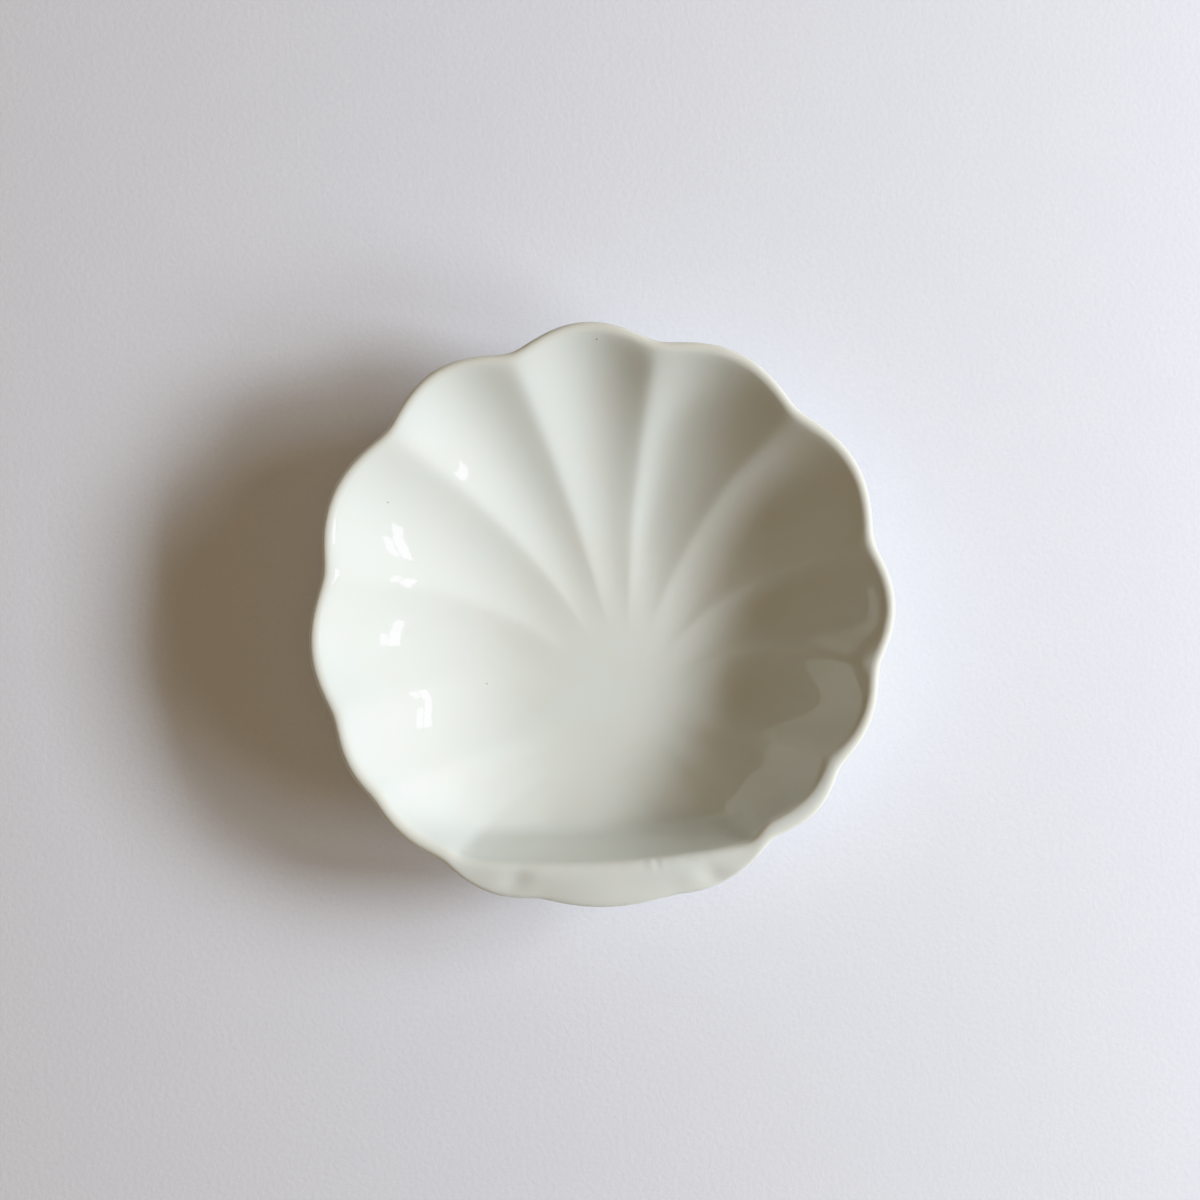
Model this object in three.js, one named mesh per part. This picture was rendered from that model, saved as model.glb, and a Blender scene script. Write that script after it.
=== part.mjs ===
// Scallop-shell dish in white glazed ceramic.
// Millimetres, +Z up. The origin lies on the standing surface, under the middle of
// the dish. The fan of flutes opens towards +Y and the shell's hinge lip is at -Y.
import * as THREE from 'three';

// ---------------------------------------------------------------- dimensions
// Scalloped outline: each notch of the rim as [angle in degrees from +X, radius].
const NOTCHES = [
  [11.75, 65.33], [43.25, 65.79], [75.25, 64.82], [106.25, 64.57], [136.5, 65.51],
  [168.75, 65.45], [197.25, 66.85], [215.25, 68.25], [233.0, 67.85], [255.0, 67.81],
  [280.5, 67.39], [304.0, 65.32], [324.0, 65.66], [345.75, 65.45],
];
// How far each lobe bulges past its two notches, from the notch with the same index.
const LOBE_BULGE = [3.06, 3.18, 3.43, 3.21, 2.99, 2.0, 1.0, 0.9, 1.75, 0.54, 1.86, 2.09, 1.45, 2.51];
// Share of the full rib height on the inside, below each notch.
const RIB_SHARE = [1.2, 0.92, 1, 0.88, 1, 0.9, 0.8, 0.58, 0.1, 0, 0, 0.7, 1.5, 1.8];
// What is left of that height close to the rim.
const RIB_AT_RIM = [1, 0.4, 1, 1, 1, 1, 0.6, 0.4, 1, 1, 1, 1, 1, 1];
const OUTLINE_LEFT = 0.75; // the outline stands out by this much more on the left
const OUTLINE_HINGE = 0.4; // and at the hinge
const NOTCH_SOFTNESS = 0.30; // rounding of the outline at the notches
const GROOVE_SOFTNESS = 0.25; // rounding of the grooves on the outside

const RIM_HEIGHT = 33.6; // top of the rim above the table
const FLOOR_HEIGHT = 8.6; // inside floor above the table
const RIM_WIDTH = 3.0; // inner to outer edge of the rounded rim
const RIM_WIDER = 1.5; // the rim is wider where it runs into the lip on the right
const RIM_WIDER_AT = 313;
const RIM_WIDER_SPAN = 11;
const RIM_RADIUS = 1.3; // quarter round on the outer edge
const RIM_INNER_DROP = 0.7; // the inner edge lies this much below the crest
const RIB_HEIGHT = 0.95; // ribs between the flutes
const RIB_START = 0.33; // ribs grow from here on the way from focus to rim
const RIB_BLEND = 0.08;
const RIB_BOW = 8.5; // sideways bow of the outer ribs
const RIB_NOSE = 0.24; // share of that height which the ribs reach close to the focus
const RIB_NOSE_START = 0.24;
const RIB_NOSE_LENGTH = 0.21;
const RIB_SOFT_INNER = 0.58; // rounding of the ribs' crests near the focus
const RIB_SOFT_OUTER = 0.06; // and near the rim
const RIB_FADE = 50; // the ribs end in the rim
const LOBE_FADE = 12; // where the ribs are weak, the lobes of the rim die out down the wall
const FOCUS = [5.0, -25.5]; // point of the floor where the ribs run together
const FLOOR_SHARE = 0.38; // flat share of the way from focus to rim
const FLOOR_BLEND = 0.13; // softness of the change from floor to wall
const FLOOR_WIDER = 0.06; // the flat share is larger below this flute
const FLOOR_WIDER_AT = 70;
const FLOOR_WIDER_SPAN = 10;
const BRIM_SHARE = 0.08; // part of the depth taken by the steep top of the wall
const BRIM_POWER = 10;
// At the hinge the floor runs on and a nearly upright wall closes the bowl.
const HINGE_SLOPE = 0.2;
const HINGE_SLOPE_START = 0.45;
const HINGE_SLOPE_BLEND = 0.15;
const HINGE_WALL_START = 0.905;
const HINGE_WALL_BLEND = 0.04;
const HINGE_WALL_LATER = 0.05; // the wall starts later at its left end
const HINGE_LEFT = [108, 163]; // degrees from the fan's axis between which this form sets in
const HINGE_RIGHT = [130, 170];
const HINGE_LEAN = 5; // sections at the hinge bow to the left by this much

const CREASE_X = -2.0; // hinge lip: its inner crease is a shallow arc
const CREASE_Y = -57.6;
const CREASE_RADIUS = 208.0;
const CREASE_BLEND = 1.6;
const LIP_DROP = 2.2; // the lip falls outwards by this much
const LIP_FULL = 6.0; // extra width at which the lip is fully formed
const LIP_PITS = [[-23.98, -60.34, 0.75, 3.4, 1.8], [21.56, -61.82, 0.75, 3.4, 1.8]]; // x, y, depth, half widths
const LIP_GROOVE = { x: 8, y: -63.6, depth: 0.5, halfLength: 11, halfWidth: 1.1 };
const EDGE_HEIGHT = 2.6; // height of the rim's and the lip's outer edge
const WALL_AT_LIP = 3.6; // wall thickness under the lip
const LIP_UNDERCUT = 0.5; // slope of the lip's underside

const FOOT_CENTRE = [0.5, -7.5];
const SEAT_RADIUS = 32.0; // the outside wall runs out to the flat base here
const BASE_HEIGHT = 4.0; // glazed underside of the base
const OUTER_POWER = 1.5; // fullness of the outside wall
const OUTER_POWER_HINGE = 4.5; // extra fullness below the hinge
const OUTER_GROOVE = 1.2; // grooves on the outside, behind the ribs
const EDGE_ROUNDING = 0.6; // rounding of every edge along a section
const CREASE_ROUNDING = 1.8; // and of the edge between the hinge wall and the lip

const CENTRING = [0.4615, 0.1865]; // brings the middle of the outline over the origin

const GLAZE = 0.4; // thickness of the glaze
const FIT = 0.1; // clearance between the glaze and the clay
const RING_OUTER = 31.4; // foot ring, at its seat
const RING_INNER = 27.0;
const BARE_OUTER = 29.9; // flat bearing face of the foot ring
const BARE_INNER = 27.9;

// Mesh density: columns in each lobe, and the rows along a section.
const COLUMNS = [0, 0.13, 0.31, 0.5, 0.69, 0.87];
const ROWS_INSIDE = [0.14, 0.28, 0.41, 0.52, 0.62, 0.72, 0.81, 0.89, 0.96];
const ROWS_RIM = [0.15, 0.9];
const ROWS_ROUND = [0.5];
const ROWS_EDGE = [0.1, 0.8];
const ROWS_OUTSIDE = [0.02, 0.16, 0.33, 0.52, 0.74, 1];

// ---------------------------------------------------------------- helpers
const smoothstep = (t) => {
  const c = Math.min(1, Math.max(0, t));
  return c * c * (3 - 2 * c);
};
const softMin = (a, b, k) => 0.5 * (a + b - Math.sqrt((a - b) ** 2 + k * k));
const arch = (t, e) => (Math.hypot(Math.sin(Math.PI * t), e) - e) / (Math.hypot(1, e) - e);
const radians = (d) => (d * Math.PI) / 180;
const hill = (x, a, b) => 0.5 * (x - a + Math.hypot(x - a, b));
const ramp = (x, a, b) => hill(x, a, b) - hill(0, a, b); // level, then rising from a on

// Height of the bowl on the way from the focus (0) to the rim (1), as a share of its depth.
function bowl(s, floor) {
  const share = ramp(s, floor, FLOOR_BLEND) / ramp(1, floor, FLOOR_BLEND);
  return (1 - BRIM_SHARE) * share * share + BRIM_SHARE * s ** BRIM_POWER;
}

// The same at the hinge.
function hinge(s, start) {
  const slope = (x) => HINGE_SLOPE * ramp(x, HINGE_SLOPE_START, HINGE_SLOPE_BLEND);
  const wall = (x) => ramp(x, start, HINGE_WALL_BLEND);
  return slope(s) + ((1 - slope(1)) * wall(s)) / wall(1);
}

// Relief of the hinge lip: two pits beside the middle bead, and a shallow groove.
function lipRelief(x, y, lip) {
  let z = 0;
  for (const [px, py, depth, wx, wy] of LIP_PITS) {
    z -= depth * Math.exp(-(((x - px) / wx) ** 2) - ((y - py) / wy) ** 2);
  }
  const g = LIP_GROOVE;
  z -= g.depth * Math.exp(-(((x - g.x) / g.halfLength) ** 4) - ((y - g.y) / g.halfWidth) ** 2);
  return z * Math.min(1, lip * 2);
}

// ---------------------------------------------------------------- one section
// The section at lobe i, share t: from the focus up the inside, over the rim and down
// the outside to the seat of the foot. Returns points at the wanted rows.
function section(i, t) {
  const j = (i + 1) % NOTCHES.length;
  const a0 = NOTCHES[i][0];
  const a1 = NOTCHES[j][0] + (j === 0 ? 360 : 0);
  const angle = radians(a0 + (a1 - a0) * t);
  const ease = smoothstep(t);
  const ex = Math.cos(angle);
  const ey = Math.sin(angle);
  const extra = OUTLINE_LEFT * smoothstep((-ex - 0.25) / 0.3) + OUTLINE_HINGE * smoothstep((-ey - 0.75) / 0.15);
  const before = LOBE_BULGE[(i + NOTCHES.length - 1) % NOTCHES.length];
  const near = 0.5 * (LOBE_BULGE[i] + before * (1 - ease) + LOBE_BULGE[j] * ease);
  const lobe = LOBE_BULGE[i] * arch(t, NOTCH_SOFTNESS);
  const outer =
    NOTCHES[i][1] + (NOTCHES[j][1] - NOTCHES[i][1]) * ease + lobe + Math.min(extra, OUTLINE_LEFT);
  const ribShare = RIB_SHARE[i] + (RIB_SHARE[j] - RIB_SHARE[i]) * ease;
  const ribAtRim = RIB_AT_RIM[i] + (RIB_AT_RIM[j] - RIB_AT_RIM[i]) * ease;
  const groove = (1 - arch(t, GROOVE_SOFTNESS)) * ribShare;

  // inner edge of the rim, flattened into the crease at the hinge
  let crease = 1e3;
  if (ey < -0.3) {
    const cy = CREASE_Y + CREASE_RADIUS;
    const b = ex * CREASE_X + ey * cy;
    const d = b * b - (CREASE_X * CREASE_X + cy * cy - CREASE_RADIUS * CREASE_RADIUS);
    if (d > 0) crease = b + Math.sqrt(d);
  }
  const degrees = ((angle * 180) / Math.PI) % 360;
  const width = RIM_WIDTH + RIM_WIDER * Math.exp(-(((degrees - RIM_WIDER_AT) / RIM_WIDER_SPAN) ** 2));
  const inner = softMin(outer - width, crease, CREASE_BLEND);
  const lip = Math.min(1, Math.max(0, (outer - width - inner) / LIP_FULL));

  // plan of the section inside: a bowed line from the focus to the rim
  const ix = inner * ex;
  const iy = inner * ey;
  const chord = new THREE.Vector2(ix - FOCUS[0], iy - FOCUS[1]);
  const length = chord.length();
  const fromFan = (Math.acos(Math.min(1, Math.max(-1, ey))) * 180) / Math.PI;
  const bow = RIB_BOW * Math.sin(radians(fromFan)) * smoothstep((132 - fromFan) / 32) * (ex > 0 ? 1 : -1);
  const lean = HINGE_LEAN * smoothstep((fromFan - 132) / 40);
  const plan = new THREE.QuadraticBezierCurve(
    new THREE.Vector2(FOCUS[0], FOCUS[1]),
    new THREE.Vector2(
      FOCUS[0] + 0.5 * chord.x - (2 * bow * chord.y) / length - lean,
      FOCUS[1] + 0.5 * chord.y + (2 * bow * chord.x) / length,
    ),
    new THREE.Vector2(ix, iy),
  );

  const line = [];
  const marks = [0];
  const put = (x, y, z) => line.push(new THREE.Vector3(x, y, z));
  const mark = () => marks.push(line.length - 1);
  const innerTop = RIM_HEIGHT - RIM_INNER_DROP * (1 - lip);
  const [setsIn, full] = ex < 0 ? HINGE_LEFT : HINGE_RIGHT;
  const atHinge = smoothstep((fromFan - setsIn) / (full - setsIn));
  const wallStart = HINGE_WALL_START + (ex < 0 ? HINGE_WALL_LATER * smoothstep((160 - fromFan) / 18) : 0);
  const level = FLOOR_SHARE + FLOOR_WIDER * Math.exp(-(((degrees - FLOOR_WIDER_AT) / FLOOR_WIDER_SPAN) ** 2));
  const uneven = (0.6 * near - lobe) * (1 - ribShare) * (1 - lip);
  for (let k = 0; k <= 180; k += 1) {
    const s = k / 180;
    const p = plan.getPoint(s);
    const nose = RIB_NOSE * smoothstep((s - RIB_NOSE_START) / RIB_NOSE_LENGTH);
    const grown = ((1 - RIB_NOSE) * ramp(s, RIB_START, RIB_BLEND)) / ramp(1, RIB_START, RIB_BLEND);
    const rise = RIB_HEIGHT * (nose + grown) * (1 - s ** RIB_FADE);
    const crest = 1 - arch(t, RIB_SOFT_INNER + (RIB_SOFT_OUTER - RIB_SOFT_INNER) * s);
    const rib = crest * ribShare * (1 + (ribAtRim - 1) * s ** 4);
    const share = bowl(s, level) * (1 - atHinge) + hinge(s, wallStart) * atHinge;
    const even = uneven * (1 - s ** LOBE_FADE) * s;
    put(p.x + even * ex, p.y + even * ey, FLOOR_HEIGHT + (innerTop - FLOOR_HEIGHT) * share + rib * rise);
  }
  mark();
  let top = innerTop;
  for (let k = 1; k <= 14; k += 1) {
    const f = k / 14;
    const r = inner + (outer - RIM_RADIUS - inner) * f;
    const crown = innerTop + (RIM_HEIGHT - innerTop) * (1 - (1 - f) ** 2);
    top = crown - LIP_DROP * lip * f ** 1.3 + lipRelief(r * ex, r * ey, lip);
    put(r * ex, r * ey, top);
  }
  mark();
  for (let k = 1; k <= 12; k += 1) {
    const turn = ((1 - k / 12) * Math.PI) / 2;
    const r = outer - RIM_RADIUS + RIM_RADIUS * Math.cos(turn);
    put(r * ex, r * ey, top - RIM_RADIUS + RIM_RADIUS * Math.sin(turn));
  }
  mark();
  for (let k = 1; k <= 8; k += 1) {
    put(outer * ex, outer * ey, top - RIM_RADIUS - ((EDGE_HEIGHT - RIM_RADIUS) * k) / 8);
  }
  mark();
  const wall = softMin(outer - 0.2, inner + WALL_AT_LIP, 0.8);
  const under = top - EDGE_HEIGHT;
  const wallTop = under - LIP_UNDERCUT * (outer - 0.2 - wall) - 0.4;
  for (let k = 1; k <= 10; k += 1) {
    const f = k / 10;
    const r = outer + (wall - outer) * f;
    put(r * ex, r * ey, under + (wallTop - under) * f);
  }
  mark();
  const turn = Math.atan2(outer * ey - FOOT_CENTRE[1], outer * ex - FOOT_CENTRE[0]);
  const sx = FOOT_CENTRE[0] + SEAT_RADIUS * Math.cos(turn);
  const sy = FOOT_CENTRE[1] + SEAT_RADIUS * Math.sin(turn);
  const power = OUTER_POWER + OUTER_POWER_HINGE * smoothstep((fromFan - 85) / 50);
  for (let k = 79; k >= 0; k -= 1) {
    const v = k / 80;
    put(
      sx + (wall * ex - sx) * v,
      sy + (wall * ey - sy) * v,
      BASE_HEIGHT + (wallTop - BASE_HEIGHT) * v ** power + OUTER_GROOVE * groove * Math.sin(Math.PI * v) ** 2,
    );
  }
  mark();
  return rows(line, marks, lip);
}

// Rounds a section's edges and picks its rows.
function rows(line, marks, lip) {
  const steps = [0];
  for (let k = 1; k < line.length; k += 1) steps.push(steps[k - 1] + line[k].distanceTo(line[k - 1]));
  const total = steps[steps.length - 1];
  const count = 360;
  let points = [];
  let at = 0;
  for (let k = 0; k < count; k += 1) {
    const d = (total * k) / (count - 1);
    while (at < line.length - 2 && steps[at + 1] < d) at += 1;
    points.push(line[at].clone().lerp(line[at + 1], (d - steps[at]) / (steps[at + 1] - steps[at] || 1)));
  }
  const gap = total / (count - 1);
  const passes = 40;
  const share = Math.min(0.5, EDGE_ROUNDING ** 2 / (passes * gap * gap));
  const more = Math.min(0.9, (CREASE_ROUNDING ** 2 - EDGE_ROUNDING ** 2) / (passes * gap * gap)) * lip;
  const shares = points.map((_, k) => share + more * Math.exp(-(((k * gap - steps[marks[1]]) / 3) ** 4)));
  for (let n = 0; n < passes; n += 1) {
    points = points.map((p, k) => {
      if (k === 0 || k === count - 1) return p;
      const mean = points[k - 1].clone().add(points[k + 1]).multiplyScalar(0.5);
      return p.clone().lerp(mean, shares[k]);
    });
  }
  const pick = (d) => {
    const f = Math.min(count - 1.000001, d / gap);
    const k = Math.floor(f);
    return points[k].clone().lerp(points[k + 1], f - k);
  };
  const [m0, mIn, mTop, mOut, mEdge, mWall, mEnd] = marks.map((k) => steps[k]);
  return [
    ...ROWS_INSIDE.map((f) => pick(m0 + (mIn - m0) * f)),
    ...ROWS_RIM.map((f) => pick(mIn + (mTop - mIn) * f)),
    ...ROWS_ROUND.map((f) => pick(mTop + (mOut - mTop) * f)),
    ...ROWS_EDGE.map((f) => pick(mOut + (mEdge - mOut) * f)),
    ...ROWS_OUTSIDE.map((f) => pick(mWall + (mEnd - mWall) * f)),
  ];
}

// ---------------------------------------------------------------- the surface
// Finished surface as a net: net[row][column]. Row 0 is the first ring round the focus.
const sections = NOTCHES.flatMap((_, i) => COLUMNS.map((t) => section(i, t)));
const columnCount = sections.length;
const rowCount = sections[0].length;
const focus = new THREE.Vector3(FOCUS[0], FOCUS[1], FLOOR_HEIGHT);
const net = [];
for (let r = 0; r < rowCount; r += 1) net.push(sections.map((s) => s[r]));

// Triangles of a net with a pole; numbers: 0 is the pole, then row by row.
const vertexAt = (r, c) => 1 + r * columnCount + ((c + columnCount) % columnCount);
const netTriangles = [];
for (let c = 0; c < columnCount; c += 1) {
  netTriangles.push([0, vertexAt(0, c), vertexAt(0, c + 1)]);
  for (let r = 0; r < rowCount - 1; r += 1) {
    netTriangles.push([vertexAt(r, c), vertexAt(r + 1, c), vertexAt(r + 1, c + 1)]);
    netTriangles.push([vertexAt(r, c), vertexAt(r + 1, c + 1), vertexAt(r, c + 1)]);
  }
}
const surface = [focus, ...net.flat()];

// Normals of the finished surface, pointing out of the material.
const normals = surface.map(() => new THREE.Vector3());
for (const [a, b, c] of netTriangles) {
  const n = surface[b].clone().sub(surface[a]).cross(surface[c].clone().sub(surface[a]));
  for (const k of [a, b, c]) normals[k].add(n);
}
for (const n of normals) n.normalize();

// The surface moved into the material; its last ring stays straight above the seat.
const lastRing = 1 + (rowCount - 1) * columnCount;
function sunk(depth) {
  return surface.map((p, k) =>
    k >= lastRing ? new THREE.Vector3(p.x, p.y, BASE_HEIGHT + depth) : p.clone().addScaledVector(normals[k], -depth),
  );
}

function solid(points, triangles) {
  const geometry = new THREE.BufferGeometry();
  geometry.setAttribute('position', new THREE.Float32BufferAttribute(points.flatMap((p) => [p.x, p.y, p.z]), 3));
  geometry.setIndex(triangles.flat());
  geometry.computeVertexNormals();
  return geometry;
}

// Clay body: the sunk surface, closed by the flat base.
function bodyGeometry() {
  const depth = GLAZE + FIT;
  const points = sunk(depth);
  const triangles = netTriangles.map((t) => [...t]);
  const middle = points.length;
  points.push(new THREE.Vector3(FOOT_CENTRE[0], FOOT_CENTRE[1], BASE_HEIGHT + depth));
  for (let c = 0; c < columnCount; c += 1) {
    triangles.push([vertexAt(rowCount - 1, c), middle, vertexAt(rowCount - 1, c + 1)]);
  }
  return solid(points, triangles);
}

// Glaze: the finished surface backed by the same surface one coat deeper.
function glazeGeometry() {
  const back = sunk(GLAZE);
  const shift = surface.length;
  const points = [...surface, ...back];
  const triangles = netTriangles.map((t) => [...t]);
  for (const [a, b, c] of netTriangles) triangles.push([a + shift, c + shift, b + shift]);
  for (let c = 0; c < columnCount; c += 1) {
    const a = vertexAt(rowCount - 1, c);
    const b = vertexAt(rowCount - 1, c + 1);
    triangles.push([a, a + shift, b + shift], [a, b + shift, b]);
  }
  return solid(points, triangles);
}

// Turned pieces stand on the foot's centre line.
function turned(profile, segments) {
  const points = profile.map(([r, z]) => new THREE.Vector2(r, z));
  return new THREE.LatheGeometry(points, segments).rotateX(Math.PI / 2);
}

const seatHeight = BASE_HEIGHT + GLAZE + FIT;
const ringProfile = [
  [RING_INNER, seatHeight],
  [RING_INNER + 0.3, 1.2],
  [BARE_INNER - 0.25, 0.25],
  [BARE_INNER, 0],
  [BARE_OUTER, 0],
  [BARE_OUTER + 0.35, 0.25],
  [BARE_OUTER + 0.75, 1.0],
  [RING_OUTER, seatHeight],
  [RING_INNER, seatHeight],
];
const discProfile = [
  [0, BASE_HEIGHT],
  [RING_INNER - 0.5, BASE_HEIGHT],
  [RING_INNER - 0.3, BASE_HEIGHT + 0.12],
  [RING_INNER - 0.3, BASE_HEIGHT + GLAZE],
  [0, BASE_HEIGHT + GLAZE],
];

// ---------------------------------------------------------------- the dish
const clay = new THREE.MeshStandardMaterial({ color: 0xd9d2c3, roughness: 0.85, metalness: 0 });
const whiteGlaze = new THREE.MeshStandardMaterial({ color: 0xe6e8e2, roughness: 0.12, metalness: 0 });

const dish = new THREE.Group();
dish.name = 'shell_dish';
dish.position.set(CENTRING[0], CENTRING[1], 0);

function piece(name, geometry, material, x = 0, y = 0) {
  const mesh = new THREE.Mesh(geometry, material);
  mesh.name = name;
  mesh.position.set(x, y, 0);
  dish.add(mesh);
}

piece('shell_body', bodyGeometry(), clay);
piece('glaze_coat', glazeGeometry(), whiteGlaze);
piece('foot_ring', turned(ringProfile, 60), clay, FOOT_CENTRE[0], FOOT_CENTRE[1]);
piece('base_glaze', turned(discProfile, 60), whiteGlaze, FOOT_CENTRE[0], FOOT_CENTRE[1]);

export default dish;
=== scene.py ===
import math

import bpy
import numpy as np
from mathutils import Matrix, Vector


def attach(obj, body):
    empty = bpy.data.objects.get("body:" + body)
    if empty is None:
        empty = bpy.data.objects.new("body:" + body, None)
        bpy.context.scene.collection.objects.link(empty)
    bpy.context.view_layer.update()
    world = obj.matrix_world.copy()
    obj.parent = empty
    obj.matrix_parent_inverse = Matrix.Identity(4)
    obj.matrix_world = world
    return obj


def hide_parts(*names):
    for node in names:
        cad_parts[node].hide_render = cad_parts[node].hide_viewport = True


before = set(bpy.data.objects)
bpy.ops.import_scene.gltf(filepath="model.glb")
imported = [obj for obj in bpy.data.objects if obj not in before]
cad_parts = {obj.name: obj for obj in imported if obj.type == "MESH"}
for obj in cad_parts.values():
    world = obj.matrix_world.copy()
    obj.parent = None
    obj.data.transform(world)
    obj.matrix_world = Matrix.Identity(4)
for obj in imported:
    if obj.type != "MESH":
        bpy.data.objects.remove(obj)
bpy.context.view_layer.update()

scene = bpy.context.scene

# ------------------------------------------------------------------ dimensions
# Scalloped outline: each notch as (angle from +X in degrees, radius in mm).
NOTCHES = [
    (11.75, 65.33), (43.25, 65.79), (75.25, 64.82), (106.25, 64.57), (136.5, 65.51),
    (168.75, 65.45), (197.25, 66.85), (215.25, 68.25), (233.0, 67.85), (255.0, 67.81),
    (280.5, 67.39), (304.0, 65.32), (324.0, 65.66), (345.75, 65.45),
]
LOBE_BULGE = [3.06, 3.18, 3.43, 3.21, 2.99, 2.0, 1.0, 0.9, 1.75, 0.54, 1.86, 2.09, 1.45, 2.51]
RIB_SHARE = [1.2, 0.92, 1, 0.88, 1, 0.9, 0.8, 0.58, 0.1, 0, 0, 0.7, 1.5, 1.8]
RIB_AT_RIM = [1, 0.4, 1, 1, 1, 1, 0.6, 0.4, 1, 1, 1, 1, 1, 1]
OUTLINE_LEFT, OUTLINE_HINGE = 0.75, 0.4
NOTCH_SOFTNESS, GROOVE_SOFTNESS = 0.30, 0.25
RIM_HEIGHT, FLOOR_HEIGHT = 33.6, 8.6
RIM_WIDTH, RIM_RADIUS, RIM_INNER_DROP = 3.0, 1.3, 0.7
RIM_WIDER, RIM_WIDER_AT, RIM_WIDER_SPAN = 1.5, 313.0, 11.0
RIB_HEIGHT, RIB_START, RIB_BLEND, RIB_BOW = 0.95, 0.33, 0.08, 8.5
RIB_NOSE, RIB_NOSE_START, RIB_NOSE_LENGTH = 0.24, 0.24, 0.21
RIB_SOFT_INNER, RIB_SOFT_OUTER, RIB_FADE, LOBE_FADE = 0.58, 0.06, 50, 12
FOCUS = np.array([5.0, -25.5])
FLOOR_SHARE, FLOOR_BLEND, BRIM_SHARE, BRIM_POWER = 0.38, 0.13, 0.08, 10
FLOOR_WIDER, FLOOR_WIDER_AT, FLOOR_WIDER_SPAN = 0.06, 70.0, 10.0
HINGE_SLOPE, HINGE_SLOPE_START, HINGE_SLOPE_BLEND = 0.2, 0.45, 0.15
HINGE_WALL_START, HINGE_WALL_BLEND, HINGE_WALL_LATER = 0.905, 0.04, 0.05
HINGE_LEFT, HINGE_RIGHT, HINGE_LEAN = (108.0, 163.0), (130.0, 170.0), 5.0
CREASE_X, CREASE_Y, CREASE_RADIUS, CREASE_BLEND = -2.0, -57.6, 208.0, 1.6
LIP_DROP, LIP_FULL = 2.2, 6.0
LIP_PITS = [(-23.98, -60.34, 0.75, 3.4, 1.8), (21.56, -61.82, 0.75, 3.4, 1.8)]
LIP_GROOVE = (8.0, -63.6, 0.5, 11.0, 1.1)
EDGE_HEIGHT, WALL_AT_LIP, LIP_UNDERCUT = 2.6, 3.6, 0.5
FOOT_CENTRE = np.array([0.5, -7.5])
SEAT_RADIUS, BASE_HEIGHT = 32.0, 4.0
OUTER_POWER, OUTER_POWER_HINGE, OUTER_GROOVE = 1.5, 4.5, 1.2
EDGE_ROUNDING, CREASE_ROUNDING = 0.6, 1.8
CENTRING = np.array([0.4615, 0.1865, 0.0])
GLAZE, FIT = 0.4, 0.1

COLUMNS_PER_LOBE = 32


# ------------------------------------------------------------------ the surface
def smoothstep(t):
    t = np.clip(t, 0, 1)
    return t * t * (3 - 2 * t)


def soft_min(a, b, k):
    return 0.5 * (a + b - np.sqrt((a - b) ** 2 + k * k))


def arch(t, e):
    return (np.hypot(np.sin(np.pi * t), e) - e) / (np.hypot(1.0, e) - e)


def ramp(x, a, b):
    hill = lambda v: 0.5 * (v - a + np.hypot(v - a, b))
    return hill(x) - hill(0.0)


def bowl(s, floor):
    share = ramp(s, floor, FLOOR_BLEND) / ramp(1.0, floor, FLOOR_BLEND)
    return (1 - BRIM_SHARE) * share * share + BRIM_SHARE * s ** BRIM_POWER


def hinge(s, start):
    slope = lambda x: HINGE_SLOPE * ramp(x, HINGE_SLOPE_START, HINGE_SLOPE_BLEND)
    wall = lambda x: ramp(x, start, HINGE_WALL_BLEND)
    return slope(s) + (1 - slope(1.0)) * wall(s) / wall(1.0)


def lip_relief(x, y, lip):
    z = 0 * x
    for px, py, depth, wx, wy in LIP_PITS:
        z = z - depth * np.exp(-(((x - px) / wx) ** 2) - ((y - py) / wy) ** 2)
    gx, gy, depth, wx, wy = LIP_GROOVE
    z = z - depth * np.exp(-(((x - gx) / wx) ** 4) - ((y - gy) / wy) ** 2)
    return z * np.minimum(1, lip * 2)


def column_lobes():
    """Lobe number and share of each column, closer together at the notches."""
    n = COLUMNS_PER_LOBE
    u = np.arange(n) / n
    t = u - 0.055 * np.sin(2 * np.pi * u)
    i = np.repeat(np.arange(len(NOTCHES)), n)
    return i, np.tile(t, len(NOTCHES))


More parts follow.
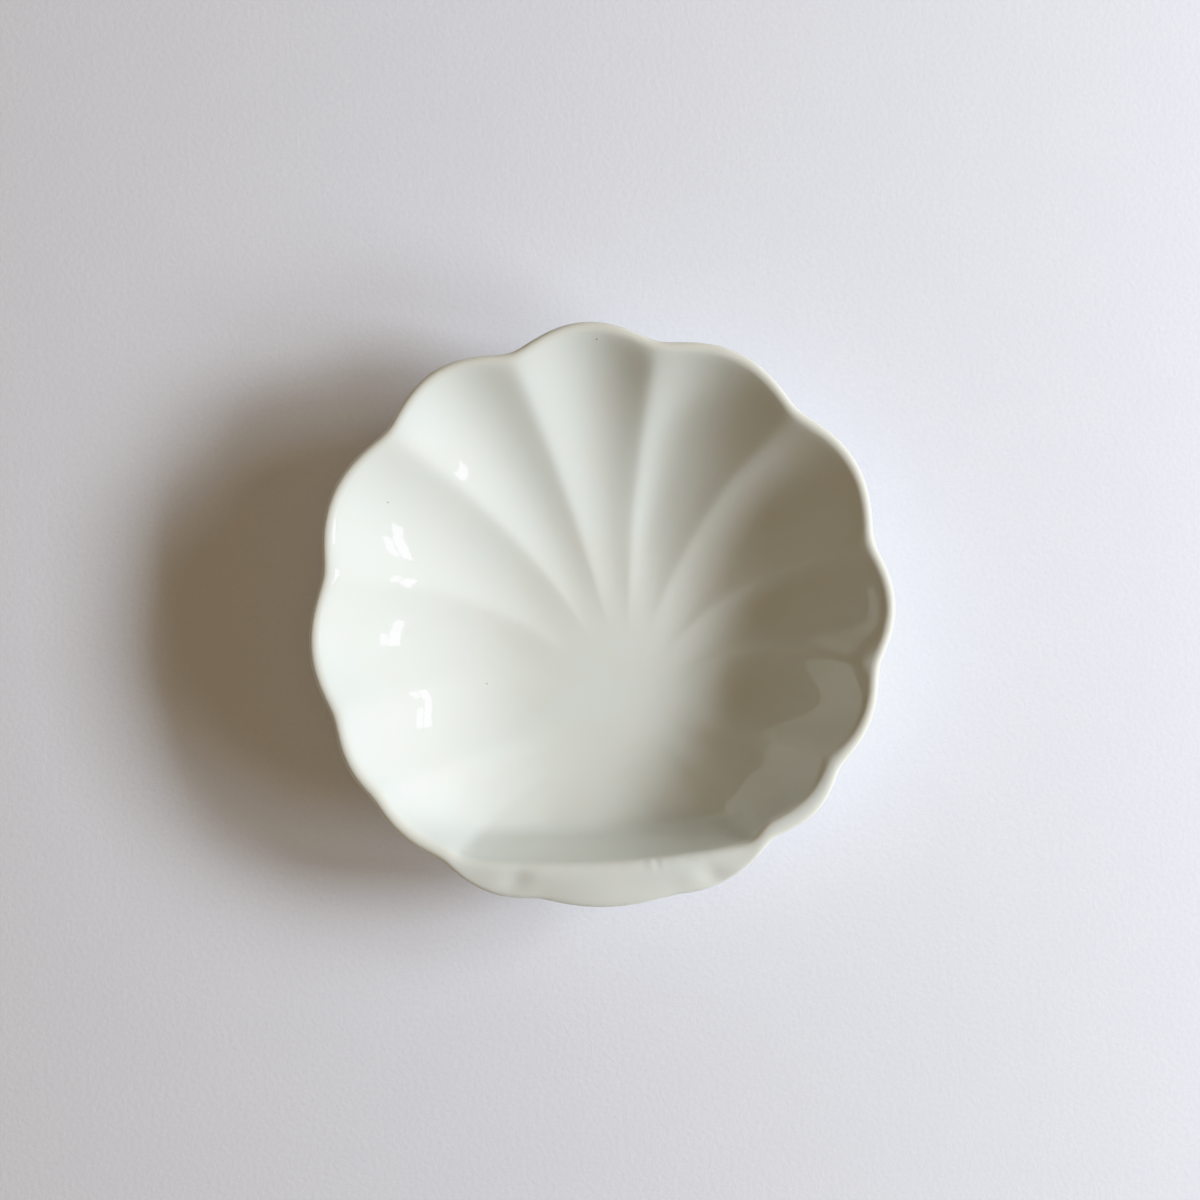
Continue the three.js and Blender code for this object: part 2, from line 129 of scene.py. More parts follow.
def sections():
    """Every column's section, from the focus up the inside, over the rim and down the outside
    to the seat of the foot, as (points, marks): arrays (columns, samples, 3) and sample numbers."""
    i, t = column_lobes()
    j = (i + 1) % len(NOTCHES)
    a = np.array([n[0] for n in NOTCHES])
    r = np.array([n[1] for n in NOTCHES])
    a1 = np.where(j == 0, a[j] + 360, a[j])
    angle = np.radians(a[i] + (a1 - a[i]) * t)
    ease = smoothstep(t)
    ex, ey = np.cos(angle), np.sin(angle)
    bulge = np.array(LOBE_BULGE)
    extra = OUTLINE_LEFT * smoothstep((-ex - 0.25) / 0.3) + OUTLINE_HINGE * smoothstep((-ey - 0.75) / 0.15)
    plain = r[i] + (r[j] - r[i]) * ease + np.minimum(extra, OUTLINE_LEFT)
    lobe = bulge[i] * arch(t, NOTCH_SOFTNESS)
    near = (1 - ease) * 0.5 * (bulge[i] + bulge[i - 1]) + ease * 0.5 * (bulge[j] + bulge[i])
    outer = plain + lobe
    share = np.array(RIB_SHARE)
    share = share[i] + (share[j] - share[i]) * ease
    at_rim = np.array(RIB_AT_RIM)
    at_rim = at_rim[i] + (at_rim[j] - at_rim[i]) * ease
    groove = (1 - arch(t, GROOVE_SOFTNESS)) * share

    cy = CREASE_Y + CREASE_RADIUS
    b = ex * CREASE_X + ey * cy
    d = b * b - (CREASE_X ** 2 + cy ** 2 - CREASE_RADIUS ** 2)
    crease = np.where((ey < -0.3) & (d > 0), b + np.sqrt(np.maximum(d, 0)), 1e3)
    width = RIM_WIDTH + RIM_WIDER * np.exp(-(((np.degrees(angle) % 360 - RIM_WIDER_AT) / RIM_WIDER_SPAN) ** 2))
    inner = soft_min(outer - width, crease, CREASE_BLEND)
    lip = np.clip((outer - width - inner) / LIP_FULL, 0, 1)

    ix, iy = inner * ex, inner * ey
    chx, chy = ix - FOCUS[0], iy - FOCUS[1]
    length = np.hypot(chx, chy)
    from_fan = np.degrees(np.arccos(np.clip(ey, -1, 1)))
    bow = RIB_BOW * np.sin(np.radians(from_fan)) * smoothstep((132 - from_fan) / 32) * np.where(ex > 0, 1, -1)
    lean = HINGE_LEAN * smoothstep((from_fan - 132) / 40)
    kx = FOCUS[0] + 0.5 * chx - 2 * bow * chy / length - lean
    ky = FOCUS[1] + 0.5 * chy + 2 * bow * chx / length

    col = lambda v: np.asarray(v)[:, None]
    parts, marks = [], [0]

    def put(x, y, z):
        parts.append(np.stack(np.broadcast_arrays(x, y, z), -1))
        marks.append(sum(p.shape[1] for p in parts) - 1)

    s = np.linspace(0, 1, 181)[None, :]
    inner_top = RIM_HEIGHT - RIM_INNER_DROP * (1 - lip)
    blend = np.where(ex[:, None] < 0, HINGE_LEFT, HINGE_RIGHT)
    at_hinge = smoothstep((from_fan - blend[:, 0]) / (blend[:, 1] - blend[:, 0]))
    nose = RIB_NOSE * smoothstep((s - RIB_NOSE_START) / RIB_NOSE_LENGTH)
    grown = (1 - RIB_NOSE) * ramp(s, RIB_START, RIB_BLEND) / ramp(1.0, RIB_START, RIB_BLEND)
    rise = RIB_HEIGHT * (nose + grown) * (1 - s ** RIB_FADE)
    rib = (1 - arch(col(t), RIB_SOFT_INNER + (RIB_SOFT_OUTER - RIB_SOFT_INNER) * s)) * col(share) * (1 + col(at_rim - 1) * s ** 4)
    start = HINGE_WALL_START + np.where(ex < 0, HINGE_WALL_LATER * smoothstep((160 - from_fan) / 18), 0)
    level = FLOOR_SHARE + FLOOR_WIDER * np.exp(-(((np.degrees(angle) - FLOOR_WIDER_AT) / FLOOR_WIDER_SPAN) ** 2))
    height = bowl(s, col(level)) * col(1 - at_hinge) + hinge(s, col(start)) * col(at_hinge)
    # Where the ribs are weak the lobes of the rim die out down the wall.
    even = col((0.6 * near - lobe) * (1 - share) * (1 - lip)) * (1 - s ** LOBE_FADE) * s
    put(
        (1 - s) ** 2 * FOCUS[0] + 2 * s * (1 - s) * col(kx) + s * s * col(ix) + even * col(ex),
        (1 - s) ** 2 * FOCUS[1] + 2 * s * (1 - s) * col(ky) + s * s * col(iy) + even * col(ey),
        FLOOR_HEIGHT + col(inner_top - FLOOR_HEIGHT) * height + rib * rise,
    )
    f = np.linspace(0, 1, 15)[None, 1:]
    rr = col(inner) + col(outer - RIM_RADIUS - inner) * f
    crown = col(inner_top) + col(RIM_HEIGHT - inner_top) * (1 - (1 - f) ** 2)
    zt = crown - LIP_DROP * col(lip) * f ** 1.3 + lip_relief(rr * col(ex), rr * col(ey), col(lip))
    put(rr * col(ex), rr * col(ey), zt)
    top = zt[:, -1]
    turn = np.linspace(np.pi / 2, 0, 13)[None, 1:]
    rr = col(outer - RIM_RADIUS) + RIM_RADIUS * np.cos(turn)
    put(rr * col(ex), rr * col(ey), col(top - RIM_RADIUS) + RIM_RADIUS * np.sin(turn))
    f = np.linspace(0, 1, 9)[None, 1:]
    put(col(outer * ex) + 0 * f, col(outer * ey) + 0 * f, col(top - RIM_RADIUS) - (EDGE_HEIGHT - RIM_RADIUS) * f)
    wall = soft_min(outer - 0.2, inner + WALL_AT_LIP, 0.8)
    under = top - EDGE_HEIGHT
    wall_top = under - LIP_UNDERCUT * (outer - 0.2 - wall) - 0.4
    f = np.linspace(0, 1, 14)[None, 1:]
    rr = col(outer) + col(wall - outer) * f
    put(rr * col(ex), rr * col(ey), col(under) + col(wall_top - under) * f)
    to_seat = np.arctan2(outer * ey - FOOT_CENTRE[1], outer * ex - FOOT_CENTRE[0])
    sx = FOOT_CENTRE[0] + SEAT_RADIUS * np.cos(to_seat)
    sy = FOOT_CENTRE[1] + SEAT_RADIUS * np.sin(to_seat)
    power = OUTER_POWER + OUTER_POWER_HINGE * smoothstep((from_fan - 85) / 50)
    v = np.linspace(1, 0, 91)[None, 1:]
    put(
        col(sx) + col(wall * ex - sx) * v,
        col(sy) + col(wall * ey - sy) * v,
        BASE_HEIGHT + col(wall_top - BASE_HEIGHT) * v ** col(power) + OUTER_GROOVE * col(groove) * np.sin(np.pi * v) ** 2,
    )
    return np.concatenate(parts, 1), marks, to_seat, lip


def rows_of(points, marks, picks, lip):
    """Rounds each section's edges and picks its rows; picks is one list of shares for each stretch between marks."""
    count = 440
    step = np.linalg.norm(np.diff(points, axis=1), axis=2)
    along = np.concatenate([np.zeros((len(points), 1)), np.cumsum(step, 1)], 1)
    net, stretch = [], []
    for n in range(len(points)):
        total = along[n, -1]
        even = np.linspace(0, total, count)
        p = np.stack([np.interp(even, along[n], points[n, :, k]) for k in range(3)], 1)
        gap = total / (count - 1)
        passes = 40
        share = min(0.5, EDGE_ROUNDING ** 2 / (passes * gap * gap))
        # the crease below the lip is rounder than the other edges
        crease = along[n, marks[1]]
        more = min(0.9, (CREASE_ROUNDING ** 2 - EDGE_ROUNDING ** 2) / (passes * gap * gap)) * lip[n]
        share = share + more * np.exp(-(((even[1:-1] - crease) / 3.0) ** 4))[:, None]
        for _ in range(passes):
            p[1:-1] = p[1:-1] + share * 0.5 * (p[:-2] + p[2:] - 2 * p[1:-1])
        at = []
        for k, shares in enumerate(picks):
            lo, hi = along[n, marks[k]], along[n, marks[k + 1]]
            at.extend(lo + (hi - lo) * f for f in shares)
        net.append(np.stack([np.interp(at, even, p[:, k]) for k in range(3)], 1))
    for k, shares in enumerate(picks):
        stretch.extend([k] * len(shares))
    return np.array(net), np.array(stretch)


def eased(n, power=1.0):
    return list((np.arange(1, n + 1) / n) ** power)


points, marks, to_seat, lip = sections()
PICKS = [
    list(np.linspace(0.012, 0.985, 84)),  # inside
    [0.08, 0.3, 0.52, 0.74, 0.94],  # crest of the rim, or the lip
    [0.12, 0.28, 0.44, 0.6, 0.76, 0.92],  # quarter round
    [0.15, 0.5, 0.85],  # edge
    [0.1, 0.35, 0.65, 0.9],  # under the edge
    list(np.linspace(0.02, 1.0, 46)),  # outside
]
net, stretch = rows_of(points, marks, PICKS, lip)  # (columns, rows, 3)
columns, rows = net.shape[:2]
focus = np.array([FOCUS[0], FOCUS[1], FLOOR_HEIGHT])


def net_faces(columns, rows, pole=True):
    """Faces of a net round a pole; vertex 0 is the pole, then row by row."""
    c = np.arange(columns)
    c2 = (c + 1) % columns
    faces = []
    if pole:
        faces += [[0, 1 + a, 1 + b] for a, b in zip(c, c2)]
    for k in range(rows - 1):
        lo, hi = 1 + k * columns, 1 + (k + 1) * columns
        faces += [[lo + a, hi + a, hi + b, lo + b] for a, b in zip(c, c2)]
    return faces


def normals_of(verts, faces):
    n = np.zeros_like(verts)
    for size in (3, 4):
        f = np.array([q for q in faces if len(q) == size])
        if not len(f):
            continue
        if size == 3:
            m = np.cross(verts[f[:, 1]] - verts[f[:, 0]], verts[f[:, 2]] - verts[f[:, 0]])
        else:
            m = np.cross(verts[f[:, 2]] - verts[f[:, 0]], verts[f[:, 3]] - verts[f[:, 1]])
        for k in range(size):
            np.add.at(n, f[:, k], m)
    return n / np.linalg.norm(n, axis=1)[:, None]


def make(name, verts, faces, values=None):
    me = bpy.data.meshes.new(name)
    me.from_pydata(((np.asarray(verts) + CENTRING) * 1e-3).tolist(), [], [list(map(int, f)) for f in faces])
    me.validate()
    me.update()
    me.polygons.foreach_set("use_smooth", np.ones(len(me.polygons), bool))
    for key, v in (values or {}).items():
        layer = me.attributes.new(key, "FLOAT", "POINT")
        layer.data.foreach_set("value", np.asarray(v, np.float32))
    ob = bpy.data.objects.new(name, me)
    scene.collection.objects.link(ob)
    return ob


# ------------------------------------------------------------------ glaze coat
front = np.concatenate([focus[None], net.transpose(1, 0, 2).reshape(-1, 3)])
faces = net_faces(columns, rows)
normal = normals_of(front, faces)
last = 1 + (rows - 1) * columns
back = front - GLAZE * normal
back[last:, :2] = front[last:, :2]
back[last:, 2] = BASE_HEIGHT + GLAZE
ring_x, ring_y = np.cos(to_seat), np.sin(to_seat)


def round_foot(radius, z):
    return np.stack([FOOT_CENTRE[0] + radius * ring_x, FOOT_CENTRE[1] + radius * ring_y, np.full(columns, z)], 1)


# The coat runs into the corner above the foot ring in a small cove.
COVE = 0.72
cove = []
for k in range(1, 9):
    a = math.radians(90 + 90 * k / 8)
    cove.append(round_foot(SEAT_RADIUS + COVE * math.cos(a), BASE_HEIGHT - COVE + COVE * math.sin(a)))
close = [round_foot(31.34, 3.9), round_foot(31.46, 4.42)]
verts = [front] + cove + close + [back]
loops = [last + np.arange(columns)]
at = len(front)
for _ in cove + close:
    loops.append(at + np.arange(columns))
    at += columns
loops.append(at + last + np.arange(columns))
coat_faces = [list(f) for f in faces]
for lo, hi in zip(loops[:-1], loops[1:]):
    coat_faces += [[lo[c], hi[c], hi[(c + 1) % columns], lo[(c + 1) % columns]] for c in range(columns)]
coat_faces += [[v + at for v in f[::-1]] for f in faces]

# How thin the glaze lies: it draws away from crests and edges and gathers in hollows.
f4 = np.array([f for f in faces if len(f) == 4])
bend = np.zeros(len(front))
count = np.zeros(len(front))
for a, b in ((0, 1), (1, 2), (2, 3), (3, 0)):
    e = front[f4[:, b]] - front[f4[:, a]]
    k = ((normal[f4[:, b]] - normal[f4[:, a]]) * e).sum(1) / np.maximum((e * e).sum(1), 1e-9)
    for side in (a, b):
        np.add.at(bend, f4[:, side], k)
        np.add.at(count, f4[:, side], 1)
bend = bend / np.maximum(count, 1)
bend[0] = bend[1 : 1 + columns].mean()
thin = smoothstep((bend - 0.06) / 0.34)  # convex, per millimetre
thin[1:] *= 1 - 0.75 * np.tile(lip, rows)
pool = np.clip(-bend * 5.0, 0, 1)
extra_rows = (len(cove) + len(close)) * columns
fill = lambda v, end=0.0: np.concatenate([v, np.full(extra_rows, end), np.zeros(len(back))])
glaze_coat = make(
    "glaze_coat_surface",
    np.concatenate(verts),
    coat_faces,
    {"thin": fill(thin), "pool": fill(pool, 1.0)},
)

# ------------------------------------------------------------------ clay body
keep_rows = np.arange(0, rows, 2)
if keep_rows[-1] != rows - 1:
    keep_rows = np.append(keep_rows, rows - 1)
deep = front - (GLAZE + FIT) * normal
deep[last:, :2] = front[last:, :2]
deep[last:, 2] = BASE_HEIGHT + GLAZE + FIT
body_net = deep[1:].reshape(rows, columns, 3)[keep_rows]
body_verts = np.concatenate([deep[:1], body_net.reshape(-1, 3), [[FOOT_CENTRE[0], FOOT_CENTRE[1], BASE_HEIGHT + GLAZE + FIT]]])
body_faces = net_faces(columns, len(keep_rows))
rim0 = 1 + (len(keep_rows) - 1) * columns
body_faces += [[rim0 + c, len(body_verts) - 1, rim0 + (c + 1) % columns] for c in range(columns)]
shell_body = make("shell_body_clay", body_verts, body_faces)


# ------------------------------------------------------------------ turned pieces
def rounded(profile, spacing, rounding, ends=()):
    """A profile resampled evenly, with its corners rounded."""
    p = np.array(profile, float)
    step = np.linalg.norm(np.diff(p, axis=0), axis=1)
    along = np.concatenate([[0], np.cumsum(step)])
    n = max(8, int(along[-1] / spacing))
    even = np.linspace(0, along[-1], n)
    q = np.stack([np.interp(even, along, p[:, k]) for k in range(2)], 1)
    gap = along[-1] / (n - 1)
    share = min(0.5, rounding ** 2 / (12 * gap * gap))
    for _ in range(12):
        q[1:-1] = q[1:-1] + share * 0.5 * (q[:-2] + q[2:] - 2 * q[1:-1])
    return q


def turned(name, profile, segments, closed, wobble=0.0):
    """A piece turned about the foot's centre line; the profile runs with the material on its left."""
    a = np.arange(segments) * 2 * np.pi / segments
    verts, rings = [], []
    for r, z in profile:
        if r < 1e-9:
            rings.append([len(verts)])
            verts.append((FOOT_CENTRE[0], FOOT_CENTRE[1], z))
        else:
            rings.append(list(range(len(verts), len(verts) + segments)))
            rr = r + wobble * (np.sin(3 * a + 0.7) + 0.6 * np.sin(5 * a + 2.1))
            verts.extend(zip(FOOT_CENTRE[0] + rr * np.cos(a), FOOT_CENTRE[1] + rr * np.sin(a), np.full(segments, z)))
    faces = []
    pairs = list(zip(rings[:-1], rings[1:])) + ([(rings[-1], rings[0])] if closed else [])
    for lo, hi in pairs:
        for c in range(segments):
            d = (c + 1) % segments
            if len(lo) == 1:
                faces.append([lo[0], hi[c], hi[d]][::-1])
            elif len(hi) == 1:
                faces.append([lo[c], lo[d], hi[0]])
            else:
                faces.append([lo[c], lo[d], hi[d], hi[c]])
    return make(name, np.array(verts), faces)


# Foot ring: the glaze on its sides stops in a soft edge above the bare bearing face.
SEAT = BASE_HEIGHT + GLAZE + FIT
GLAZE_LINE = 0.95
ring_inside = [(27.0, SEAT), (26.98, 3.4), (27.16, GLAZE_LINE + 0.3), (27.22, GLAZE_LINE), (27.36, GLAZE_LINE - 0.06), (27.62, 0.3), (27.9, 0.0)]
ring_outside = [(29.9, 0.0), (30.24, 0.26), (30.58, GLAZE_LINE - 0.06), (30.74, GLAZE_LINE), (30.82, GLAZE_LINE + 0.3), (31.27, 3.4), (31.4, SEAT)]
ring_profile = rounded(ring_inside + ring_outside, 0.09, 0.1)
foot_ring = turned("foot_ring_turned", ring_profile, 224, True)

# Glaze patch on the base, drawn up at its edge to the ring.
disc = [(0.0, BASE_HEIGHT - 0.0)] + [(r, BASE_HEIGHT + 0.05 * (r / 26.2) ** 2 - 0.05 * (r / 26.2) ** 8) for r in np.linspace(1.2, 26.2, 34)]
for k in range(1, 9):
    a = math.radians(90 - 90 * k / 8)
    disc.append((26.22 + 0.72 * math.cos(a), BASE_HEIGHT - 0.72 + 0.72 * math.sin(a)))
disc += [(26.9, 3.9), (26.86, BASE_HEIGHT + GLAZE), (13.0, BASE_HEIGHT + GLAZE), (0.0, BASE_HEIGHT + GLAZE)]
base_glaze = turned("base_glaze_patch", disc, 192, False)


# ------------------------------------------------------------------ materials
class Nodes:
    def __init__(self, name):
        self.mat = bpy.data.materials.new(name)
        self.mat.use_nodes = True
        self.tree = self.mat.node_tree
        self.tree.nodes.clear()
        self.out = self.add("ShaderNodeOutputMaterial")
        self.bsdf = self.add("ShaderNodeBsdfPrincipled")
        self.link(self.bsdf.outputs[0], self.out.inputs["Surface"])
        self.coords = self.add("ShaderNodeTexCoord").outputs["Object"]

    def add(self, kind, **settings):
        n = self.tree.nodes.new(kind)
        for k, v in settings.items():
            setattr(n, k, v)
        return n

    def link(self, a, b):
        self.tree.links.new(a, b)

    def set(self, name, value):
        s = self.bsdf.inputs[name]
        if hasattr(value, "is_linked"):
            self.link(value, s)
        else:
            s.default_value = value

    def noise(self, scale, detail=2.0, rough=0.5, coords=None, distortion=0.0):
        n = self.add("ShaderNodeTexNoise")
        n.inputs["Scale"].default_value = scale
        n.inputs["Detail"].default_value = detail
        n.inputs["Roughness"].default_value = rough
        n.inputs["Distortion"].default_value = distortion
        self.link(coords or self.coords, n.inputs["Vector"])
        return n.outputs["Fac"]

    def attribute(self, name):
        return self.add("ShaderNodeAttribute", attribute_name=name).outputs["Fac"]

    def math(self, op, a, b=None, c=None, clamp=False):
        n = self.add("ShaderNodeMath", operation=op, use_clamp=clamp)
        for k, v in enumerate((a, b, c)):
            if v is None:
                continue
            if hasattr(v, "is_linked"):
                self.link(v, n.inputs[k])
            else:
                n.inputs[k].default_value = v
        return n.outputs[0]

    def span(self, v, a, b, c, d, smooth=True):
        n = self.add("ShaderNodeMapRange", interpolation_type="SMOOTHSTEP" if smooth else "LINEAR")
        self.link(v, n.inputs["Value"])
        for k, x in zip(("From Min", "From Max", "To Min", "To Max"), (a, b, c, d)):
            n.inputs[k].default_value = x
        return n.outputs["Result"]

    def mix(self, fac, a, b, blend="MIX"):
        n = self.add("ShaderNodeMix", data_type="RGBA", blend_type=blend)
        for k, v in ((0, fac), (6, a), (7, b)):
            if hasattr(v, "is_linked"):
                self.link(v, n.inputs[k])
            elif k == 0:
                n.inputs[0].default_value = v
            else:
                n.inputs[k].default_value = (*v, 1.0)
        return n.outputs[2]

    def bump(self, height, strength, distance, after=None):
        n = self.add("ShaderNodeBump")
        n.inputs["Strength"].default_value = strength
        n.inputs["Distance"].default_value = distance
        self.link(height, n.inputs["Height"])
        if after is not None:
            self.link(after, n.inputs["Normal"])
        return n.outputs["Normal"]

    def spots(self, places):
        """1 inside small round spots, given as (x, y, z, radius) in metres."""
        best = None
        for x, y, z, radius in places:
            d = self.add("ShaderNodeVectorMath", operation="DISTANCE")
            self.link(self.coords, d.inputs[0])
            d.inputs[1].default_value = (x, y, z)
            one = self.span(d.outputs["Value"], radius * 0.45, radius, 1.0, 0.0)
            best = one if best is None else self.math("MAXIMUM", best, one)
        return best


WHITE = (0.79, 0.812, 0.768)
COOL = (0.77, 0.805, 0.77)
WARM = (0.80, 0.785, 0.73)
CREAM = (0.79, 0.775, 0.69)


def surface_point(x, y):
    """The inside surface above a plan point of the dish's own frame, in metres in the scene."""
    inside = net[:, :84].reshape(-1, 3)
    k = np.argmin(((inside[:, :2] - (x, y)) ** 2).sum(1))
    return tuple((inside[k] + CENTRING) * 1e-3)


def glaze_colour(m, thin=None, pool=None, specks=None):
    broad = m.span(m.noise(26, 2, 0.5), 0.35, 0.65, 0.0, 1.0)
    col = m.mix(broad, WHITE, COOL)
    cloud = m.span(m.noise(90, 3, 0.55), 0.45, 0.75, 0.0, 0.4)
    col = m.mix(cloud, col, WARM)
    if pool is not None:
        col = m.mix(m.math("MULTIPLY", pool, 0.5), col, COOL)
    if thin is not None:
        grain = m.span(m.noise(700, 2, 0.6), 0.3, 0.7, 0.75, 1.0)
        col = m.mix(m.math("MULTIPLY", thin, grain), col, CREAM)
    # sparse pinholes and iron specks in the glaze
    v = m.add("ShaderNodeTexVoronoi", feature="F1")
    v.inputs["Scale"].default_value = 75
    m.link(m.coords, v.inputs["Vector"])
    rare = m.add("ShaderNodeSeparateColor")
    m.link(v.outputs["Color"], rare.inputs[0])
    chosen = m.math("GREATER_THAN", rare.outputs[0], 0.93)
    dot = m.math("MULTIPLY", m.span(v.outputs["Distance"], 0.006, 0.014, 1.0, 0.0), chosen)
    dot = m.math("MULTIPLY", dot, 0.45)
    if specks is not None:
        dot = m.math("MAXIMUM", dot, m.math("MULTIPLY", specks, 0.75))
    return m.mix(dot, col, (0.22, 0.19, 0.14)), dot


# White glaze on the dish
m = Nodes("white_glaze")
thin_at = m.attribute("thin")
pool_at = m.attribute("pool")
specks = m.spots([(*surface_point(*p), r) for p, r in (
    ((1.55, 64.6), 0.00028),
    ((-49.3, 29.4), 0.00026),
    ((-29.7, -15.9), 0.00024),
)])
colour, dot = glaze_colour(m, thin_at, pool_at, specks)
m.set("Base Color", colour)
m.set("Roughness", m.span(m.noise(320, 3, 0.6), 0.3, 0.7, 0.025, 0.05))
m.set("IOR", 1.5)
wave = m.bump(m.noise(110, 1.5, 0.5), 0.07, 0.0006)
wave = m.bump(m.noise(650, 1.0, 0.5), 0.03, 0.0002, wave)
pit = m.bump(m.math("MULTIPLY", dot, -1.0), 0.3, 0.0001, wave)
m.set("Normal", pit)
white_glaze = m.mat

# The same glaze on the base, a little thicker and duller from the kiln shelf
m = Nodes("base_white_glaze")
colour, dot = glaze_colour(m)
m.set("Base Color", colour)
m.set("Roughness", m.span(m.noise(260, 3, 0.6), 0.3, 0.7, 0.07, 0.13))
m.set("IOR", 1.5)
wave = m.bump(m.noise(90, 1.5, 0.5), 0.18, 0.0006)
m.set("Normal", m.bump(m.noise(600, 1.5, 0.5), 0.05, 0.0002, wave))
base_white = m.mat

# Foot ring: glazed sides, bare fired clay below the glaze line
m = Nodes("foot_clay")
colour, dot = glaze_colour(m)
place = m.add("ShaderNodeSeparateXYZ")
m.link(m.coords, place.inputs[0])
drift = m.math("MULTIPLY_ADD", m.noise(160, 2, 0.6), 0.00022, -0.00011)
level = m.math("ADD", place.outputs["Z"], drift)
bare = m.span(level, (GLAZE_LINE - 0.07) * 1e-3, (GLAZE_LINE + 0.03) * 1e-3, 1.0, 0.0)
line = m.math("MULTIPLY", m.span(level, (GLAZE_LINE - 0.05) * 1e-3, (GLAZE_LINE + 0.45) * 1e-3, 1.0, 0.0), 0.8)
clay = m.mix(m.span(m.noise(900, 4, 0.65), 0.35, 0.7, 0.0, 1.0), (0.66, 0.585, 0.47), (0.76, 0.70, 0.60))
clay = m.mix(m.span(m.noise(2600, 2, 0.6), 0.62, 0.75, 0.0, 0.45), clay, (0.40, 0.33, 0.25))
colour = m.mix(line, colour, (0.78, 0.735, 0.64))
m.set("Base Color", m.mix(bare, colour, clay))
m.set("Roughness", m.span(bare, 0.0, 1.0, 0.07, 0.88))
grain = m.math("MULTIPLY", m.noise(2200, 4, 0.7), bare)
m.set("Normal", m.bump(grain, 0.5, 0.00012))
foot_clay = m.mat

# Fired clay of the body, under the glaze
m = Nodes("bare_clay")
clay = m.mix(m.span(m.noise(500, 4, 0.6), 0.3, 0.7, 0.0, 1.0), (0.68, 0.62, 0.52), (0.76, 0.71, 0.62))
m.set("Base Color", m.mix(m.span(m.noise(2400, 2, 0.6), 0.62, 0.74, 0.0, 0.4), clay, (0.45, 0.38, 0.30)))
m.set("Roughness", m.span(m.noise(900, 2, 0.5), 0.3, 0.7, 0.8, 0.95))
m.set("Normal", m.bump(m.noise(1800, 4, 0.7), 0.4, 0.0001))
bare_clay = m.mat

for piece, node, slot, mat in (
    (glaze_coat, "glaze_coat", "white_glaze", white_glaze),
    (shell_body, "shell_body", "bare_clay", bare_clay),
    (foot_ring, "foot_ring", "foot_clay", foot_clay),
    (base_glaze, "base_glaze", "white_glaze", base_white),
):
    piece.data.materials.append(mat)
    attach(piece, "root")
    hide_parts(node)

# ------------------------------------------------------------------ floor
# A large pale sheet; far from the dish it fades into the light of the backdrop.
a = np.arange(96) * 2 * np.pi / 96
floor_verts, floor_faces = [(0.0, 0.0, 0.0)], []
for r in (0.12, 0.25, 0.4, 0.6, 0.9, 1.5, 3.0, 6.0):
    floor_verts += [(r * math.cos(t), r * math.sin(t), 0.0) for t in a]
floor_faces += [[0, 1 + c, 1 + (c + 1) % 96] for c in range(96)]
for k in range(7):
    lo, hi = 1 + k * 96, 1 + (k + 1) * 96
    floor_faces += [[lo + c, hi + c, hi + (c + 1) % 96, lo + (c + 1) % 96] for c in range(96)]
me = bpy.data.meshes.new("floor")
me.from_pydata(floor_verts, [], floor_faces)
me.update()
floor = bpy.data.objects.new("floor", me)
scene.collection.objects.link(floor)
m = Nodes("pale_floor")
tone = m.mix(m.span(m.noise(55, 4, 0.6), 0.35, 0.65, 0.0, 1.0), (0.867, 0.88, 0.955), (0.882, 0.895, 0.967))
tone = m.mix(m.span(m.noise(900, 3, 0.65), 0.3, 0.7, 0.0, 1.0), tone, (0.852, 0.864, 0.941))
far = m.add("ShaderNodeVectorMath", operation="LENGTH")
m.link(m.coords, far.inputs[0])
m.set("Base Color", m.mix(m.span(far.outputs["Value"], 0.22, 0.7, 0.0, 1.0), tone, (0.08, 0.08, 0.085)))
m.set("Roughness", 0.92)
m.set("Normal", m.bump(m.noise(750, 4, 0.65), 0.35, 0.00025))
m.set("Emission Color", (0.80, 0.80, 0.82, 1.0))
m.set("Emission Strength", m.span(far.outputs["Value"], 0.22, 0.7, 0.0, 0.80))
floor.data.materials.append(m.mat)

# ------------------------------------------------------------------ light
world = bpy.data.worlds.new("studio")
scene.world = world
world.use_nodes = True
tree = world.node_tree
tree.nodes.clear()
out = tree.nodes.new("ShaderNodeOutputWorld")
room = tree.nodes.new("ShaderNodeBackground")
room.inputs["Color"].default_value = (1.0, 0.75, 0.43, 1)
room.inputs["Strength"].default_value = 0.14
pale = tree.nodes.new("ShaderNodeBackground")
pale.inputs["Color"].default_value = (0.80, 0.80, 0.82, 1)
pale.inputs["Strength"].default_value = 0.85
seen = tree.nodes.new("ShaderNodeLightPath")
both = tree.nodes.new("ShaderNodeMixShader")
tree.links.new(seen.outputs["Is Camera Ray"], both.inputs[0])
tree.links.new(room.outputs[0], both.inputs[1])
tree.links.new(pale.outputs[0], both.inputs[2])
tree.links.new(both.outputs[0], out.inputs["Surface"])


def panel(name, azimuth, elevation, distance, width, height, power, colour):
    light = bpy.data.lights.new(name, "AREA")
    light.shape = "RECTANGLE"
    light.size, light.size_y = width, height
    light.energy, light.color = power, colour
    ob = bpy.data.objects.new(name, light)
    scene.collection.objects.link(ob)
    az, el = math.radians(azimuth), math.radians(elevation)
    place = distance * Vector((math.cos(el) * math.cos(az), math.cos(el) * math.sin(az), math.sin(el)))
    ob.location = place
    ob.rotation_euler = (Vector((0, 0, 0.02)) - place).to_track_quat("-Z", "Y").to_euler()
    ob.visible_camera = False
    return ob


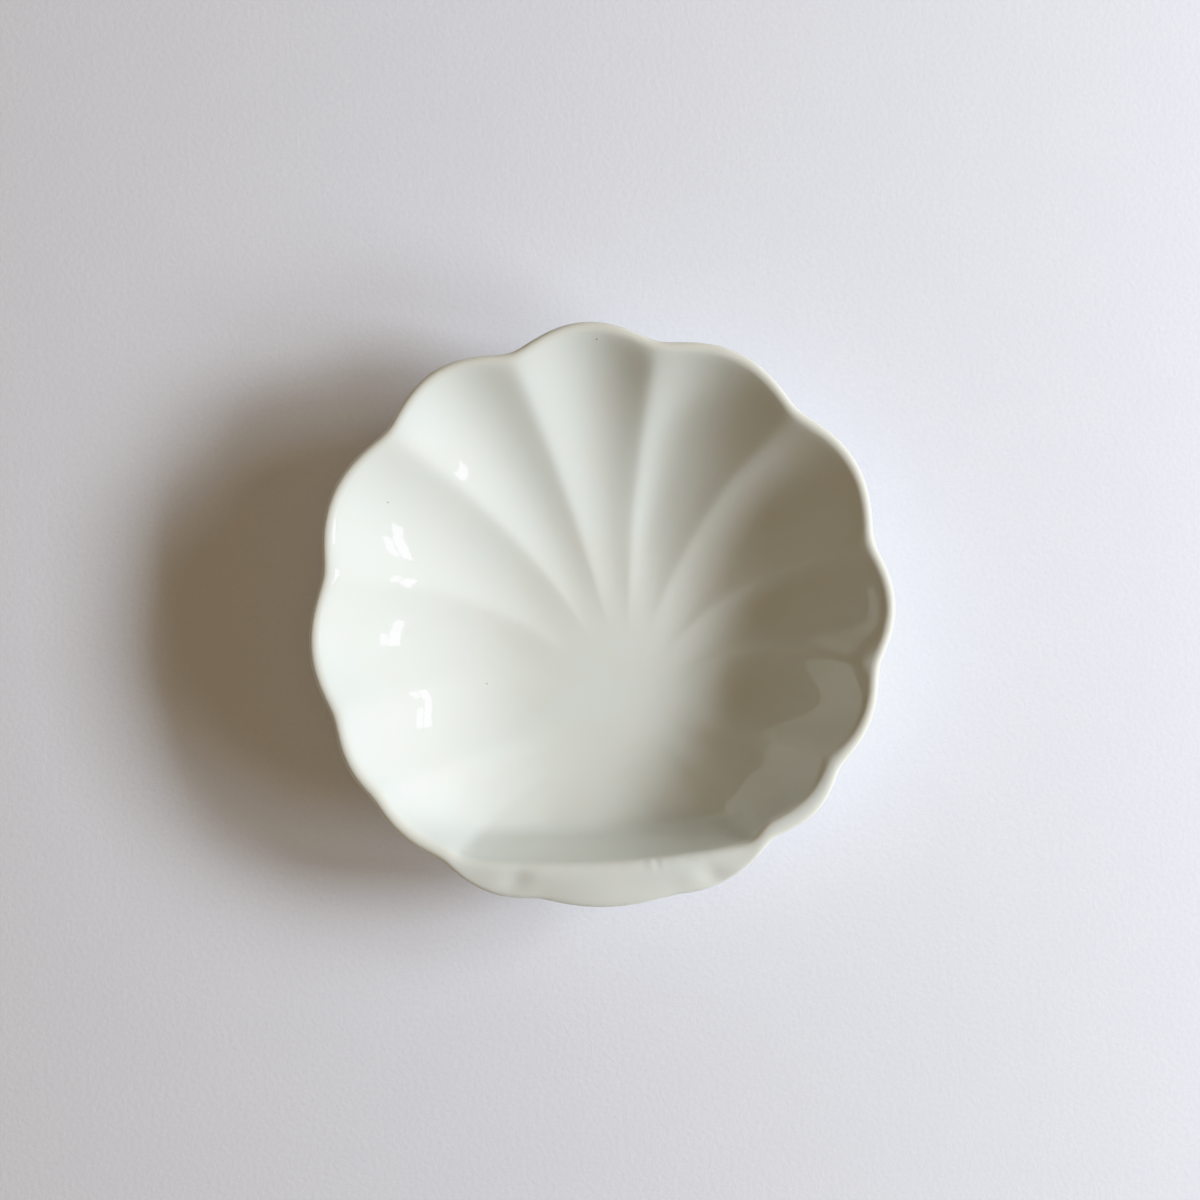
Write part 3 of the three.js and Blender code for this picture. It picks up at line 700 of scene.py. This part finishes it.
# Three softboxes at the right, a weak warm light from above, and the small bright panes that show in the gloss
DAY = (0.95, 1.02, 1.09)
for name, az, el, power in (("softbox_front", -24, 30, 3.2), ("softbox_middle", -1, 31.5, 9.3), ("softbox_back", 16, 31.5, 4.0)):
    panel(name, az, el, 1.2, 0.30, 0.27, power, DAY).visible_glossy = False
panel("ceiling", 180, 88, 1.5, 1.3, 1.3, 2.0, (1.0, 0.72, 0.42)).visible_glossy = False
for name, az, el, width, height, power in (
    ("pane_upper_left", -8.6, 32.6, 0.10, 0.065, 0.22), ("pane_upper_right", -3.0, 32.6, 0.10, 0.065, 0.22),
    ("pane_lower_left", -7.6, 28.7, 0.09, 0.06, 0.11), ("pane_lower_right", -2.4, 28.7, 0.09, 0.06, 0.11),
    ("pane_side", -17.0, 32.6, 0.22, 0.065, 0.24),
):
    panel(name, az, el, 1.2, width, height, power, DAY).visible_diffuse = False

# ------------------------------------------------------------------ camera
# Straight above the dish, turned a little about the line of sight.
camera = bpy.data.cameras.new("camera")
camera.sensor_fit = "HORIZONTAL"
camera.sensor_width = 36.0
camera.lens = 39.0
camera.dof.use_dof = False
camera.clip_start, camera.clip_end = 0.01, 50.0
eye = bpy.data.objects.new("camera", camera)
scene.collection.objects.link(eye)
target = (Vector((-0.607, 3.374, RIM_HEIGHT)) + Vector(CENTRING)) * 1e-3
eye.matrix_world = (
    Matrix.Translation(target + Vector((0, 0, 1300 * 0.23118e-3))) @ Matrix.Rotation(math.radians(-3.31), 4, "Z")
)
scene.camera = eye

# ------------------------------------------------------------------ picture
# Plain display with a soft shoulder for the brightest whites.
scene.view_settings.view_transform = "Standard"
scene.view_settings.look = "None"
scene.view_settings.use_curve_mapping = True
shoulder = scene.view_settings.curve_mapping
shoulder.white_level = (2.0, 2.0, 2.0)
curve = shoulder.curves[3]
for x, y in ((0.10, 0.20), (0.20, 0.40), (0.30, 0.60), (0.36, 0.72), (0.40, 0.795), (0.44, 0.867), (0.48, 0.934), (0.53, 0.966), (0.70, 0.990)):
    curve.points.new(x, y)
shoulder.update()
